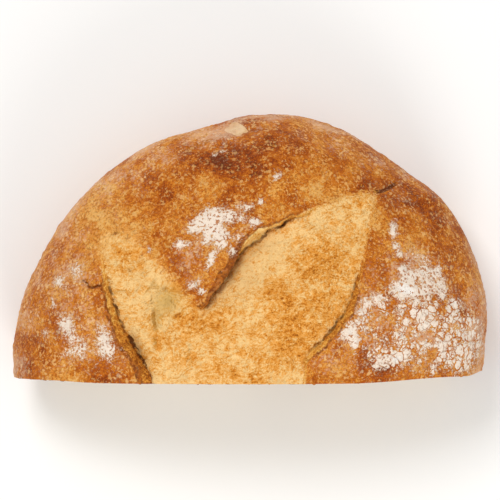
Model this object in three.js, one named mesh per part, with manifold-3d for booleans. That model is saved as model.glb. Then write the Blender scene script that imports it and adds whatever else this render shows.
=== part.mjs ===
// Half of a round sourdough loaf, lying on its baked base as it came off the oven's stone.
// It is one solid: a domed round with a scored and opened crown, sawn in two with a bread knife.
// X runs along the cut, +Y from the cut face to the round back, and +Z up. Millimetres.
// The crown was scored with a cross. Three of its four flaps are left, and each has a raised edge,
// called an ear, beside the pale dough that opened next to it.

import * as THREE from "three";
import { ParametricGeometry } from "three/addons/geometries/ParametricGeometry.js";
import { mergeVertices } from "three/addons/utils/BufferGeometryUtils.js";
import Module from "manifold-3d";

// Driving dimensions of the round, measured from its middle.
const ROUND_RADIUS = 114.5;
const HEIGHT = 92;
const GIRTH_HEIGHT = 34; // the round is widest here
const CUT_BEFORE_MIDDLE = 14; // the knife passed this far in front of the round's middle
const SKEW = 0.028; // share by which the round is longer towards its back right
const SHOULDER = 2.25; // exponent of the crown's superellipse: 2 is an ellipse, and more is squarer
const BASE_SHARE = 0.86; // the base's radius over the girth's

// How far an ear's lift and the hollow beside it carry, and half the width of the step between them.
const EAR_REACH = 16;
const HOLLOW_REACH = 9;
const STEP_HALF_WIDTH = 2.6;

// Each ear's path across the crown, with the flap on its left hand. X is from the middle of the cut,
// and Y from the cut face. The flap is lifted and the open dough beside it sinks, by these heights.
// The step fades in and out over these shares of the path.
const EARS = {
  backFlap: {
    path: [[-22.5, 36], [-13, 48.5], [-7, 59], [2, 71], [19, 78], [38, 84.5], [60, 90]],
    lift: 3.4,
    sink: 3.2,
    fadeIn: 0.12,
    fadeOut: 0.45,
  },
  leftFlap: {
    path: [[-42, -10], [-48, 0], [-54, 9.5], [-61, 20], [-65.5, 32], [-68.5, 46], [-70, 58], [-69, 67]],
    lift: 3,
    sink: 4,
    fadeIn: 0.02,
    fadeOut: 0.5,
  },
  rightFlap: {
    path: [[59.5, 90], [57, 76], [53.5, 60], [51, 46], [48, 34.5], [40, 23], [30.5, 14], [26, 5], [24, -8]],
    lift: 2.2,
    sink: 2.2,
    fadeIn: 0.55,
    fadeOut: 0.25,
  },
};

// The seam where the cross ran out over the side, at the back right.
const SEAM = { path: [[60, 90], [82, 103]], depth: 3, halfWidth: 7, fadeIn: 0.5 };

// The dough that opened between the flaps stands a little proud of the crown, as a low round swell.
const SWELL = { middle: [-4, 34], reach: 34, height: 1.6 };

// How finely the round is divided: columns round it, and rows down its crown, flank and underside.
const COLUMNS = 150;
const CROWN_ROWS = 28;
const FLANK_ROWS = 6;
const UNDER_ROWS = 2;
const ROWS = CROWN_ROWS + FLANK_ROWS + UNDER_ROWS;
const PATH_STEPS = 48;

// A block larger than the loaf, for what the knife took away and for what is below the base.
const BLOCK = 400;

// Points closer than this are one point.
const WELD = 1e-3;

/** A smooth rise from 0 at t = 0 to 1 at t = 1, flat outside them. */
function smooth(t) {
  return THREE.MathUtils.smoothstep(t, 0, 1);
}

/** A list of [x, y] points as an evenly divided smooth path. */
function smoothPath(points) {
  const curve = new THREE.SplineCurve(points.map(([x, y]) => new THREE.Vector2(x, y)));
  return curve.getSpacedPoints(PATH_STEPS);
}

/** The distance from x, y to a path, positive on its left hand, and the share of the path gone by there. */
function nearestOn(path, x, y) {
  const nearest = { distance: Infinity, along: 0 };
  for (let i = 0; i < PATH_STEPS; i++) {
    const run = path[i + 1].clone().sub(path[i]);
    const out = new THREE.Vector2(x, y).sub(path[i]);
    const share = THREE.MathUtils.clamp(out.dot(run) / run.lengthSq(), 0, 1);
    const distance = out.clone().addScaledVector(run, -share).length();
    if (distance < Math.abs(nearest.distance)) {
      nearest.distance = run.cross(out) < 0 ? -distance : distance;
      nearest.along = (i + share) / PATH_STEPS;
    }
  }
  return nearest;
}

const ears = Object.values(EARS).map((ear) => ({ ...ear, path: smoothPath(ear.path) }));
const seamPath = smoothPath(SEAM.path);

/** The height that one ear and the hollow beside it add to the crown at x, y. */
function earRelief(ear, x, y) {
  const { distance, along } = nearestOn(ear.path, x, y);
  const strength = smooth(along / ear.fadeIn) * smooth((1 - along) / ear.fadeOut);
  const flap = smooth((distance / STEP_HALF_WIDTH + 1) / 2);
  const lift = ear.lift * Math.exp(-Math.abs(distance) / EAR_REACH);
  const sink = ear.sink * Math.exp(-Math.abs(distance) / HOLLOW_REACH);
  return strength * (flap * lift - (1 - flap) * sink);
}

/** How much higher the scored crown stands at x, y than the plain dome. */
function crownRelief(x, y) {
  const fromSwell = Math.hypot(x - SWELL.middle[0], y - SWELL.middle[1]) / SWELL.reach;
  const swell = SWELL.height * Math.exp(-fromSwell * fromSwell);
  return ears.reduce((sum, ear) => sum + earRelief(ear, x, y), swell);
}

/** How deep the seam is at x, y. */
function seamDepth(x, y) {
  const { distance, along } = nearestOn(seamPath, x, y);
  const across = distance / SEAM.halfWidth;
  return SEAM.depth * smooth(along / SEAM.fadeIn) * Math.exp(-across * across);
}

/** The girth's distance from the round's middle, at an angle from +X. */
function girthRadius(angle) {
  return ROUND_RADIUS * (1 + SKEW * Math.sin(2 * angle));
}

/**
 * The plain round's section at a row, counted from the bottom: the radius as a share of the girth's, the
 * height, and how much the surface faces up. It is an ellipse up to the girth, which the base cuts off,
 * and a superellipse above it.
 */
function section(row) {
  const fromTop = ROWS - row;
  if (fromTop <= CROWN_ROWS) {
    const turn = ((fromTop / CROWN_ROWS) * Math.PI) / 2;
    return {
      share: Math.sin(turn) ** (2 / SHOULDER),
      height: GIRTH_HEIGHT + (HEIGHT - GIRTH_HEIGHT) * Math.cos(turn) ** (2 / SHOULDER),
      facing: Math.cos(turn),
    };
  }
  const baseTurn = Math.acos(BASE_SHARE);
  const flank = Math.min((fromTop - CROWN_ROWS) / FLANK_ROWS, 1);
  const under = Math.max((fromTop - CROWN_ROWS - FLANK_ROWS) / UNDER_ROWS, 0);
  const turn = flank * baseTurn + under * (Math.PI / 2 - baseTurn);
  return {
    share: Math.cos(turn),
    height: GIRTH_HEIGHT * (1 - Math.sin(turn) / Math.sin(baseTurn)),
    facing: 0,
  };
}

/** A point of the whole round's surface, for the shares u round it and v from its bottom to its top. */
function roundSurface(u, v, target) {
  const angle = u * 2 * Math.PI;
  const { share, height, facing } = section(v * ROWS);
  const radius = girthRadius(angle) * share;
  const x = radius * Math.cos(angle);
  const y = radius * Math.sin(angle) + CUT_BEFORE_MIDDLE;
  const inwards = seamDepth(x, y);
  target.set(
    x - inwards * share * Math.cos(angle),
    y - inwards * share * Math.sin(angle),
    height + Math.sqrt(facing) * crownRelief(x, y) - inwards * facing,
  );
}

const wasm = await Module();
wasm.setup();

/** A closed three.js geometry as a solid. */
function solidOf(geometry) {
  geometry.deleteAttribute("normal");
  geometry.deleteAttribute("uv");
  const welded = mergeVertices(geometry, WELD);
  const mesh = new wasm.Mesh({
    numProp: 3,
    vertProperties: welded.attributes.position.array,
    triVerts: new Uint32Array(welded.index.array),
  });
  return new wasm.Manifold(mesh);
}

/** A solid as a three.js geometry. */
function geometryOf(solid) {
  const mesh = solid.getMesh();
  const geometry = new THREE.BufferGeometry();
  geometry.setAttribute("position", new THREE.BufferAttribute(mesh.vertProperties, 3));
  geometry.setIndex(new THREE.BufferAttribute(mesh.triVerts, 1));
  geometry.computeVertexNormals();
  return geometry;
}

const wholeRound = solidOf(new ParametricGeometry(roundSurface, COLUMNS, ROWS));
const cutAway = solidOf(new THREE.BoxGeometry(BLOCK, BLOCK, BLOCK).translate(0, -BLOCK / 2, 0));
const underBase = solidOf(new THREE.BoxGeometry(BLOCK, BLOCK, BLOCK).translate(0, 0, -BLOCK / 2));
const halfRound = geometryOf(wholeRound.subtract(cutAway).subtract(underBase));

// The origin is under the middle of the loaf's box, on the surface that it rests on.
halfRound.computeBoundingBox();
const middle = halfRound.boundingBox.getCenter(new THREE.Vector3());
halfRound.translate(-middle.x, -middle.y, 0);

const bakedCrust = new THREE.MeshStandardMaterial({ color: 0xc08040, roughness: 0.75, metalness: 0 });
const halfLoaf = new THREE.Mesh(halfRound, bakedCrust);
halfLoaf.name = "half_loaf";

const loaf = new THREE.Group();
loaf.add(halfLoaf);

export default loaf;
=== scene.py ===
"""Half of a round sourdough loaf: a scored, floured crown, a sawn face of open crumb and a baked base.

The loaf is one closed mesh. Shapes are worked out in millimetres in loaf coordinates: x along the sawn
face from its middle, y backwards from the sawn face, and z up from the base. They are moved into the
frame at the end.
"""

import math

import bpy
import numpy as np
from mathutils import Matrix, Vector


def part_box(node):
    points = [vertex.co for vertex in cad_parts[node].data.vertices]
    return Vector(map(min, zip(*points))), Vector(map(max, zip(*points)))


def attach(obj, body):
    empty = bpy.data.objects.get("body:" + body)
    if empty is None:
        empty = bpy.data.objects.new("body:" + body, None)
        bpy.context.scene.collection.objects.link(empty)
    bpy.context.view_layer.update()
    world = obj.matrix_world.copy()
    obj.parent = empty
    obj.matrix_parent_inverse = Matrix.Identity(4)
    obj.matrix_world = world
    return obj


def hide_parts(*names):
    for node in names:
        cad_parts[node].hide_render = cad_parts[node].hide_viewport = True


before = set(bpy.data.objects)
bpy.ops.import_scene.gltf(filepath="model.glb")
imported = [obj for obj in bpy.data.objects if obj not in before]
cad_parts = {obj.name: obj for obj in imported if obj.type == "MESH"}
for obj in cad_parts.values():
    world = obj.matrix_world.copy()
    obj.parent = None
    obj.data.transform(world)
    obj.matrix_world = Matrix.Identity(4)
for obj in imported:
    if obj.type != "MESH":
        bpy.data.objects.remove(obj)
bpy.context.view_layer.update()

# ---- Driving dimensions, in millimetres ----

MM = 0.001
SAWN_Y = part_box("half_loaf")[0][1] / MM  # the sawn face's place in the frame

ROUND_RADIUS = 114.5
CUT_BEFORE_MIDDLE = 14.0  # the knife passed this far in front of the round's middle
SKEW = 0.028  # share by which the round is longer towards its back right
HEIGHT = 92.0
GIRTH_HEIGHT = 34.0  # the round is widest here
SHOULDER = 2.25  # exponent of the crown's superellipse: 2 is an ellipse, and more is squarer
BASE_SHARE = 0.86  # the base's radius over the girth's
BASE_EDGE_ROUNDING = 3.0  # over about this height the flank turns into the base

# How far the round's edge is out from a circle: angle from +X in degrees, and millimetres.
UNEVEN_EDGE = [
    (0, -1.5), (10, -1.8), (20, -0.4), (35, -0.2), (45, -0.6), (51, -2.3), (60, -3.4), (70, -1.2),
    (80, 0.2), (90, -1.2), (100, -3.8), (112, -1.6), (125, -1), (140, -1), (155, -0.6), (170, 0.5),
    (180, 0.3),
]

# Grid sizes: the crust's rows from the crown's top to the base's edge, the sawn face's columns and rows,
# and the base's rows.
CRUST_ROWS = 172
CROWN_SHARE = 0.87  # of the crust's rows, those above the girth
CROWN_BUNCHING = 1.15  # above 1, the crown's rows are closer together at its top
FACE_COLUMNS = 300
FACE_ROWS = 114
BASE_ROWS = 36
FACE_INSET = 0.35  # the sawn face's grid starts this far inside the crust's cut edge
BASE_INSET = 1.2  # and the base's this far inside the crust's lowest edge
NEAREST_ROW = 0.12  # no row behind the front one comes closer to the cut than this
SHARP_ANGLE = 62  # between two faces, in degrees: a sharper edge than this isn't shaded as one surface

# ---- Small tools ----


def smooth(t):
    """A rise from 0 at t = 0 to 1 at t = 1 with level ends: 3 t squared less 2 t cubed."""
    t = np.clip(t, 0.0, 1.0)
    return t * t * (3.0 - 2.0 * t)


def bell(t):
    """1 at t = 0 and falling away on both sides: e to the minus t squared."""
    return np.exp(-t * t)


def waves(points, length, seed, count=40):
    """A smooth random field with a spread of about 1: the sum of cosine waves of nearly one length, each
    along its own random direction and with its own phase."""
    draw = np.random.default_rng(seed)
    heading = draw.normal(size=(count, points.shape[-1]))
    heading /= np.linalg.norm(heading, axis=1, keepdims=True)
    frequency = 2 * np.pi / (length * draw.uniform(0.7, 1.4, (count, 1)))
    phase = draw.uniform(0, 2 * np.pi, count)
    return np.cos(points @ (heading * frequency).T + phase).sum(-1) * math.sqrt(2 / count)


def uneven(points, *sizes):
    """A sum of waves, each given as its height, its length and its seed."""
    return sum(height * waves(points, length, seed) for height, length, seed in sizes)


def nearest_seed(points, size, seed):
    """One random point stands in every cube of a lattice of this size. Returns the distance to the nearest
    one and a random number that belongs to it, from 0 to 1."""
    draw = np.random.default_rng(seed)
    shuffle = draw.permutation(256)
    places = draw.random((256, 3))
    numbers = draw.random(256)
    cube = np.floor(points / size).astype(int)
    best = np.full(len(points), np.inf)
    number = np.zeros(len(points))
    for shift in np.ndindex(3, 3, 3):
        near = cube + np.array(shift) - 1
        key = shuffle[(shuffle[(shuffle[near[:, 0] & 255] + near[:, 1]) & 255] + near[:, 2]) & 255]
        distance = np.linalg.norm((near + places[key]) * size - points, axis=1)
        closer = distance < best
        best = np.where(closer, distance, best)
        number = np.where(closer, numbers[key], number)
    return best, number


def smooth_path(points, steps=12):
    """A Catmull-Rom curve through the points: between two of them it leaves and arrives along the line that
    joins their neighbours."""
    points = np.array(points, float)
    ends = np.vstack([2 * points[0] - points[1], points, 2 * points[-1] - points[-2]])
    t = (np.arange(steps) / steps)[None, :, None]
    a, b, c, d = (ends[i : len(points) - 1 + i, None] for i in range(4))
    twice = 2 * b + (c - a) * t + (2 * a - 5 * b + 4 * c - d) * t**2 + (3 * b - a - 3 * c + d) * t**3
    return np.vstack([0.5 * twice.reshape(-1, 2), points[-1]])


def beside_path(path, x, y):
    """For each place: its distance from the path, positive on the path's left hand, the share of the path's
    length gone by at the nearest point, and the path's left-hand normal there."""
    start, run = path[:-1], np.diff(path, axis=0)
    length = np.linalg.norm(run, axis=1)
    gone = np.concatenate([[0], np.cumsum(length)]) / length.sum()
    best = np.full(x.shape, np.inf)
    signed, along = np.zeros(x.shape), np.zeros(x.shape)
    normal = np.zeros(x.shape + (2,))
    for i in range(len(run)):
        dx, dy = x - start[i, 0], y - start[i, 1]
        share = np.clip((dx * run[i, 0] + dy * run[i, 1]) / length[i] ** 2, 0, 1)
        distance = np.hypot(dx - share * run[i, 0], dy - share * run[i, 1])
        closer = distance < best
        side = np.sign(run[i, 0] * dy - run[i, 1] * dx)
        best = np.where(closer, distance, best)
        signed = np.where(closer, side * distance, signed)
        along = np.where(closer, gone[i] + share * (gone[i + 1] - gone[i]), along)
        normal[closer] = np.array([-run[i, 1], run[i, 0]]) / length[i]
    return signed, along, normal


def beside_curve(points, x, y):
    """What beside_path says of the smooth curve through some points."""
    return beside_path(smooth_path(points), x, y)


def depth_inside(outline, x, y):
    """How far each place is inside a closed outline, negative outside it. A place is inside where a line
    from it towards +X crosses the outline an odd number of times."""
    outline = np.array(outline)
    odd = np.zeros(x.shape, bool)
    for (ax, ay), (bx, by) in zip(outline, np.roll(outline, -1, axis=0)):
        if ay != by:
            odd ^= ((ay > y) != (by > y)) & (x < (bx - ax) * (y - ay) / (by - ay) + ax)
    distance = abs(beside_path(np.vstack([outline, outline[:1]]), x, y)[0])
    return np.where(odd, distance, -distance)


def blobs(places, x, y):
    """The sum of soft spots, each (x, y, half width, half length, turn in degrees, strength), with a bell's
    profile."""
    total = np.zeros(x.shape)
    for cx, cy, width, length, turn, strength in places:
        c, s = math.cos(math.radians(turn)), math.sin(math.radians(turn))
        dx, dy = x - cx, y - cy
        total += strength * bell(np.hypot((c * dx + s * dy) / width, (c * dy - s * dx) / length))
    return total


def spots(places, x, y):
    """How thickly soft spots cover each place. They are given as for blobs, and where two overlap the cover
    is the root of the sum of their squares. A negative spot takes away."""
    total = np.zeros(x.shape)
    for place in places:
        cover = blobs([place], x, y)
        total += cover * abs(cover)
    return np.sqrt(np.maximum(total, 0))


def knots(pairs, t):
    """The value at t of a line through (t, value) pairs."""
    return np.interp(t, [p[0] for p in pairs], [p[1] for p in pairs])


def fading(along, start, end):
    """1 along a path, falling smoothly to 0 at its ends, over these shares of it at its start and end."""
    return smooth(along / start) * smooth((1 - along) / end)


# ---- The scored crown: where the flaps' ears run and how they stand ----

# Each ear's path runs along its brown skin's edge with the flap on its left hand. Then come lines through
# (share of the path, value), in millimetres:
#   lift and sink: how high the flap is lifted, and how far the open dough sinks beside it
#   torn and over: how wide the torn edge is, and how far it hangs over
#   gap and gap_width: the depth and the half width of the crack at its foot
#   brown, lip and crease: how brown the torn edge is, partly its baked colour and partly painted shade
#       where
#   the back ear's torn edge lies in shadow; how wide a band of painted shade lies along the skin's edge;
#   and how dark the painted shadow in the dough's crease is; the first and last from 0 to 1
# roll is how round the torn edge is, and reach and hollow are how far the lift and the sink carry.
EARS = {
    "back": {
        "path": [
            (-25.5, 37.2), (-22.7, 35.7), (-20.2, 38.3), (-16.7, 42.7), (-13.2, 48.5), (-10.5, 52.4),
            (-7.9, 56.5), (-5.6, 62.7), (-1.6, 69), (2.4, 71.6), (7.7, 73.9), (12.7, 75.7),
            (18.9, 77.9), (30.2, 81.9), (44.8, 87.1), (59.7, 90),
        ],
        "lift": [
            (0, 1.4), (0.08, 3.2), (0.3, 5.0), (0.5, 3.4), (0.65, 1.1), (0.75, 0.2), (0.92, 0.1),
            (1, 0.7),
        ],
        "sink": [
            (0, 0.4), (0.08, 2.0), (0.3, 3.8), (0.5, 2.6), (0.65, 0.8), (0.75, 0.2), (0.92, 0.1),
            (1, 0.3),
        ],
        "torn": [
            (0, 1.2), (0.25, 1.3), (0.32, 2.6), (0.38, 5.4), (0.44, 5.2), (0.52, 2.6), (0.6, 1.4),
            (1, 1.2),
        ],
        "over": [(0, 0), (0.1, 0.5), (0.3, 1.0), (0.5, 0.7), (0.65, 0.2), (1, 0.0)],
        "gap": [
            (0, 0), (0.1, 0.5), (0.3, 0.6), (0.45, 1.0), (0.5, 1.7), (0.53, 0.6), (0.56, 1.6),
            (0.62, 0.6), (0.7, 0),
        ],
        "gap_width": [(0, 0.9), (1, 0.7)],
        "brown": [(0, 0.8), (0.3, 0.7), (0.36, 0.0), (0.5, 0.0), (0.6, 0.4), (1, 0.3)],
        "lip_shade": [(0, 0.6), (0.1, 1.5), (0.28, 1.7), (0.36, 1.0), (0.42, 0.4), (0.6, 0.3), (0.7, 0)],
        "crease_shade": [(0, 0), (0.06, 0.5), (0.28, 1.0), (0.45, 0.6), (0.6, 0)],
        "roll": 0.2,
        "reach": 15.0,
        "hollow": 9.0,
    },
    "left": {
        "path": [
            (-49, -6), (-49.5, 0), (-52, 5.5), (-54, 9.5), (-57.6, 14.5), (-61.2, 20), (-63.8, 25.6),
            (-65.4, 31.7), (-67, 37.7), (-68.1, 43.8), (-68.9, 53.4), (-69.9, 62), (-68.9, 66.9),
        ],
        "lift": [(0, 2.6), (0.4, 2.2), (0.7, 1.4), (0.85, 0.7), (1, 0.0)],
        "sink": [(0, 0.6), (0.2, 1.2), (0.5, 0.8), (0.7, 0.5), (0.85, 0.2), (1, 0.0)],
        "torn": [(0, 3.6), (0.3, 4.4), (0.5, 4.0), (0.7, 2.6), (0.8, 1.4), (1, 1.0)],
        "over": [(0, 0), (1, 0)],
        "gap": [
            (0, 0.5), (0.14, 0.8), (0.22, 2.6), (0.33, 2.8), (0.4, 1.1), (0.5, 0.9), (0.58, 1.4),
            (0.72, 1.0), (0.78, 0),
        ],
        "gap_width": [(0, 0.8), (0.16, 1.0), (0.22, 1.7), (0.33, 1.8), (0.42, 0.6), (1, 0.5)],
        "brown": [(0, 0.95), (0.15, 0.85), (0.3, 0.7), (0.6, 0.55), (1, 0.25)],
        "lip_shade": [(0, 0.9), (0.4, 0.85), (0.7, 0.5), (0.82, 0)],
        "crease_shade": [(0, 0), (0.18, 0.3), (0.26, 1.0), (0.36, 0.7), (0.46, 0.2), (0.7, 0.2), (0.8, 0)],
        "roll": 1.0,
        "reach": 13.0,
        "hollow": 8.0,
    },
    "right": {
        "path": [
            (59.6, 90), (59, 83.5), (57, 75.8), (55.7, 69.6), (53.7, 62.7), (53, 55.8), (51.7, 50.8),
            (50.7, 43.3), (48.2, 34.6), (44.7, 29), (40.3, 23.4), (35.3, 17.9), (30.9, 14.2),
            (26.6, 9.8), (25.9, 2.3), (25.6, -6),
        ],
        "lift": [(0, 0.4), (0.3, 0.3), (0.42, 1.2), (0.6, 2.2), (0.8, 1.6), (0.9, 0.5), (1, 0.2)],
        "sink": [(0, 0.2), (0.3, 0.2), (0.45, 0.9), (0.6, 1.2), (0.8, 1.0), (0.9, 0.3), (1, 0)],
        "torn": [(0, 1.2), (0.36, 1.2), (0.45, 2.2), (0.6, 3.0), (0.8, 2.6), (0.88, 1.4), (1, 1.2)],
        "over": [(0, 0), (1, 0)],
        "gap": [
            (0, 0), (0.36, 0.0), (0.45, 0.8), (0.55, 0.4), (0.6, 1.2), (0.78, 0.7), (0.86, 0.2), (1, 0),
        ],
        "gap_width": [(0, 0.6), (0.6, 0.75), (1, 0.6)],
        "brown": [(0, 0.4), (0.4, 0.75), (0.6, 0.6), (0.8, 0.4), (1, 0.35)],
        "lip_shade": [(0, 0), (0.4, 0.0), (0.5, 0.5), (0.8, 0.4), (0.88, 0)],
        "crease_shade": [(0, 0), (1, 0)],
        "roll": 0.35,
        "reach": 11.0,
        "hollow": 6.0,
    },
}

# The back flap's other side has no edge: there the opened dough passes softly into the browned skin.
SOFT_SIDE = [
    (-68.9, 66.9), (-64.7, 69.7), (-58.4, 68.8), (-51.7, 63.6), (-46, 59.9), (-41.7, 55.7), (-38.9, 51),
    (-33.7, 44.1), (-28.6, 39.9), (-25.5, 37.2),
]

# Grooves and creases: a path, a depth and a half width in millimetres, the share of the path over which
# each end fades, and how brown: the strength of the painted shade that darkens it.
GROOVES = [
    # the seam where the cross ran out over the side
    ([(59, 89.5), (66, 91.5), (73, 95), (84, 104)], 2.6, 4.6, 0.35, 0.0),
    ([(57.5, 90.3), (62, 90.3), (66, 92), (71, 95)], 1.5, 1.3, 0.2, 1.0),
    # the fold of the right flap below the seam
    ([(66, 91), (73, 88), (83, 83.5), (90, 79.8), (98, 72), (103, 57)], 0.9, 2.4, 0.3, 0.0),
    # the crease across the back flap's shoulder
    ([(-43, 102), (-27, 111), (-16, 115.5), (-4, 118), (15, 121)], 0.7, 1.8, 0.3, 0.25),
    # the pit in the left of the opened dough, and the cracks about it
    ([(-45.2, 36), (-44.9, 30), (-43.4, 24)], 2.0, 1.5, 0.35, 0.7),
    ([(-45.6, 43), (-46, 38), (-45, 34)], 0.8, 0.6, 0.4, 0.6),
    ([(-46, 23), (-44, 19), (-45.5, 15.5)], 0.9, 1.3, 0.5, 0.5),
    ([(-60, 58), (-56.5, 53), (-52, 48.5)], 0.5, 0.7, 0.5, 0.35),
    ([(-65.5, 42), (-60, 43.2), (-54, 42.2)], 0.5, 0.6, 0.5, 0.3),
    ([(-51, 62), (-50.5, 58)], 0.5, 0.5, 0.5, 0.6),
    ([(-68, 68), (-63, 70.2), (-58, 70)], 1.0, 0.8, 0.4, 0.55),
    ([(-40, 40), (-35, 36.5), (-34.5, 33)], 0.5, 0.5, 0.4, 0.6),
    ([(-31, 19), (-30, 13), (-28.5, 8)], 0.5, 0.6, 0.5, 0.45),
    ([(-28.5, 22), (-28, 14), (-26.8, 9), (-28.8, 5.5)], 0.5, 0.5, 0.4, 0.4),
    ([(-53, 50), (-49, 52), (-45, 51)], 0.5, 0.7, 0.4, 0.2),
    ([(-20, 33), (-13, 28), (-9, 21)], 0.4, 0.9, 0.4, 0.15),
    # the raised flake's scalloped edge on the left flap
    ([(-79, 48.5), (-76.5, 46.5), (-75, 44.6), (-72.5, 44.6), (-70.5, 45.4), (-68.5, 44.6)], 1.7, 0.8,
      0.12, 0.85),
]

# Small pits in the opened dough: x, y, half width, half length, turn and depth.
PITS = [
    (-39.8, 44.3, 1.3, 0.9, 0, 1.6), (20.2, 10.7, 1.1, 0.9, 0, 0.9), (-52.3, 3.6, 1.2, 1.0, 0, 0.8),
    (-32.8, 30.8, 2.0, 2.0, 0, 0.3),
]

# Lumps: the low round swell of the dough that opened, the raised flake by the left ear's top, bulges, and
# last the dimple under the glassy skin.
LUMPS = [
    (2, 32, 26, 26, 0, 2.2), (30, 40, 13, 17, 0, 1.2), (-47, 52, 14, 10, -30, 0.8),
    (-72.5, 56, 3.0, 4.5, 0, 1.1), (-72.5, 49, 2.6, 3.5, 0, 1.0), (20, 110, 18, 14, 0, 0.8),
    (78, 55, 16, 20, 30, 1.0), (-84, 30, 14, 22, 0, 0.8), (-39.5, 37.5, 6.0, 5.5, 0, -1.3),
]

# The left of the opened dough is wrinkled.
WRINKLED = [(-46, 42, 16, 22, 20, 1.0), (-30, 14, 8, 10, 0, 0.5)]
WRINKLE_DEPTH = 0.55


def open_outline():
    """The closed outline of the dough that opened between the flaps."""
    left, back, right = (smooth_path(EARS[name]["path"]) for name in ("left", "back", "right"))
    return np.vstack([left, smooth_path(SOFT_SIDE)[1:], back[1:], right[1:]])


# ---- The crust ----

# Near an ear's torn edge the grid's places are pulled towards it by this share of their distance, most
# within this reach of it.
PULL = 0.66
PULL_REACH = 5.5
PULL_FROM_CUT = 0.1  # but nothing is pulled closer to the cut than this

# The shares of an ear's path over which the pull and the ear fade at its start and end.
PULL_ENDS = (0.05, 0.05)
EAR_ENDS = (0.04, 0.06)

# How far an ear's and a groove's edge follow the ragged waves.
EAR_RAGGED = 0.8
GROOVE_RAGGED = 0.3

# Blisters of two sizes. Each has the lattice's size and seed, the least radius and what a blister's random
# number adds to it, the height and what each millimetre of radius adds to it, and the share without any.
BLISTERS = [(6.5, 6, 1.0, 1.6, 0.0, 0.22, 0.35), (3.0, 7, 0.7, 0.8, 0.24, 0.0, 0.45)]

# How much of the broad and of the fine unevenness goes sideways, over what goes up.
BROAD_SIDEWAYS = np.array([0.35, 0.35, 1])
FINE_SIDEWAYS = np.array([0.7, 0.7, 1])


def half_disc(rows):
    """A grid of places on a half disc of radius 1, as radius and angle from +X. Its rings are those of a
    rectangle twice as wide as it is high, bent into half circles, so cells stay of nearly one size."""
    a, b = np.meshgrid(np.linspace(-1, 1, 2 * rows + 1), np.linspace(0, 1, rows + 1))
    radius = np.maximum(abs(a), b)
    safe = np.where(radius > 0, radius, 1)
    quarter = np.where(abs(a) >= b, b / safe, 2 - abs(a) / safe) * np.pi / 4
    return radius, np.where(a >= 0, quarter, np.pi - quarter)


def girth_reach(angle, radius):
    """How far the round's edge is from the middle of the cut at an angle, for a round of this radius. The
    edge of a hand-shaped round is in some places a little in or out of a true circle."""
    across = CUT_BEFORE_MIDDLE * np.cos(angle)
    round_edge = CUT_BEFORE_MIDDLE * np.sin(angle) + np.sqrt(radius**2 - across**2)
    edge = smooth_path(UNEVEN_EDGE)
    out = np.interp(np.degrees(angle), edge[:, 0], edge[:, 1])
    return round_edge * (1 + SKEW * np.sin(2 * angle)) + out


def plain_crust(ring, angle):
    """The unscored round. Above the girth its section is a superellipse, and below it an ellipse that
    narrows to the base and rounds into it."""
    turn = np.clip(ring / CROWN_SHARE, 0, 1) ** CROWN_BUNCHING * np.pi / 2
    share = np.sin(turn) ** (2 / SHOULDER)
    above = GIRTH_HEIGHT + (HEIGHT - GIRTH_HEIGHT) * np.cos(turn) ** (2 / SHOULDER)
    base_turn = math.acos(BASE_SHARE)
    down = np.clip((ring - CROWN_SHARE) / (1 - CROWN_SHARE), 0, 1) * base_turn
    below = GIRTH_HEIGHT * (1 - np.sin(down) / math.sin(base_turn))
    below -= BASE_EDGE_ROUNDING * (1 - np.exp(-below / BASE_EDGE_ROUNDING))
    full = GIRTH_HEIGHT - BASE_EDGE_ROUNDING * (1 - math.exp(-GIRTH_HEIGHT / BASE_EDGE_ROUNDING))
    below *= GIRTH_HEIGHT / full
    crown = ring <= CROWN_SHARE
    crown_reach = share * girth_reach(angle, ROUND_RADIUS)
    reach = np.where(crown, crown_reach, girth_reach(angle, ROUND_RADIUS * np.cos(down)))
    return reach * np.cos(angle), reach * np.sin(angle), np.where(crown, above, below)


def pulled(x, y, front, crown):
    """The crust's places, pulled along the crown into finer steps across each ear. The front row stays on
    the cut."""
    for ear in EARS.values():
        signed, along, normal = beside_curve(ear["path"], x, y)
        offset = signed + knots(ear["torn"], along) / 2
        pull = -PULL * offset * bell(offset / PULL_REACH) * fading(along, *PULL_ENDS) * crown
        x = x + pull * normal[..., 0]
        y = np.where(front, 0, np.maximum(y + pull * normal[..., 1], PULL_FROM_CUT))
    return x, y


def ear_profile(ear, at, signed):
    """The height and the sideways shift that an ear gives, at a distance from its skin's edge and with its
    lines' values there. The flap falls away from the lifted edge and the open dough rises back from the
    foot, both exponentially. Between them the torn edge drops in a smooth step, rounded by half a wave,
    and at its foot may be a crack with a bell's profile."""
    torn, width = at["torn"], at["gap_width"]
    on_flap, on_dough = signed >= 0, signed < -torn
    flap = at["lift"] * np.exp(-np.maximum(signed, 0) / ear["reach"])
    hollow = -at["sink"] * np.exp(np.minimum(signed + torn, 0) / ear["hollow"])
    step = smooth(-signed / torn)
    drop = at["lift"] - (at["sink"] + at["lift"]) * step
    height = np.select([on_flap, on_dough], [flap, hollow], drop)
    roundness = np.sin(np.pi * np.clip(-signed / torn, 0, 1)) - 0.7 * bell(signed / 0.7)
    height = height + ear["roll"] * roundness * smooth(torn / 2 - 0.5)
    crack = bell((signed + torn + 0.3 * width) / width)
    behind, beyond = np.exp(-np.maximum(signed, 0) / 5), -np.exp((signed + torn) / 2)
    shift = at["over"] * np.select([on_flap, on_dough], [behind, beyond], 1 - 2 * step)
    return height - at["gap"] * crack, shift


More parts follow.
